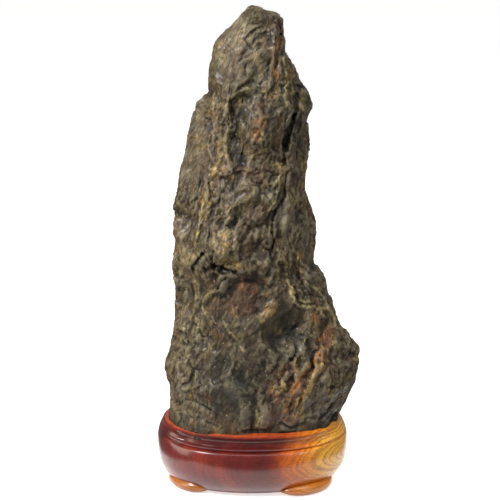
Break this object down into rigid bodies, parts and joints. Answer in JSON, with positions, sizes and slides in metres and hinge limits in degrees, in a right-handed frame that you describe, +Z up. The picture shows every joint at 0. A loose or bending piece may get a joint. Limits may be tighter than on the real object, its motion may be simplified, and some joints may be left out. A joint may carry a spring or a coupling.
{
  "type": "suiseki viewing stone on a carved stand",
  "caption": "Tall upright viewing stone with weathered ridges and veins, resting in the carved seat of a low lacquered wooden stand.",
  "frame": {"origin": "middle of the bottom of the box round the whole object, level with the undersides of the stand's feet", "axes": "+Z up along the stone, -Y towards the stone's front, +X to the viewer's right"},
  "size_m": [0.149, 0.106, 0.3505],
  "materials": {
    "stone": "oiled natural stone, satin",
    "stand_wood": "gloss lacquer"
  },
  "bodies": {
    "root": {"stone": "stone", "stand": "stand_wood"}
  },
  "joints": []
}
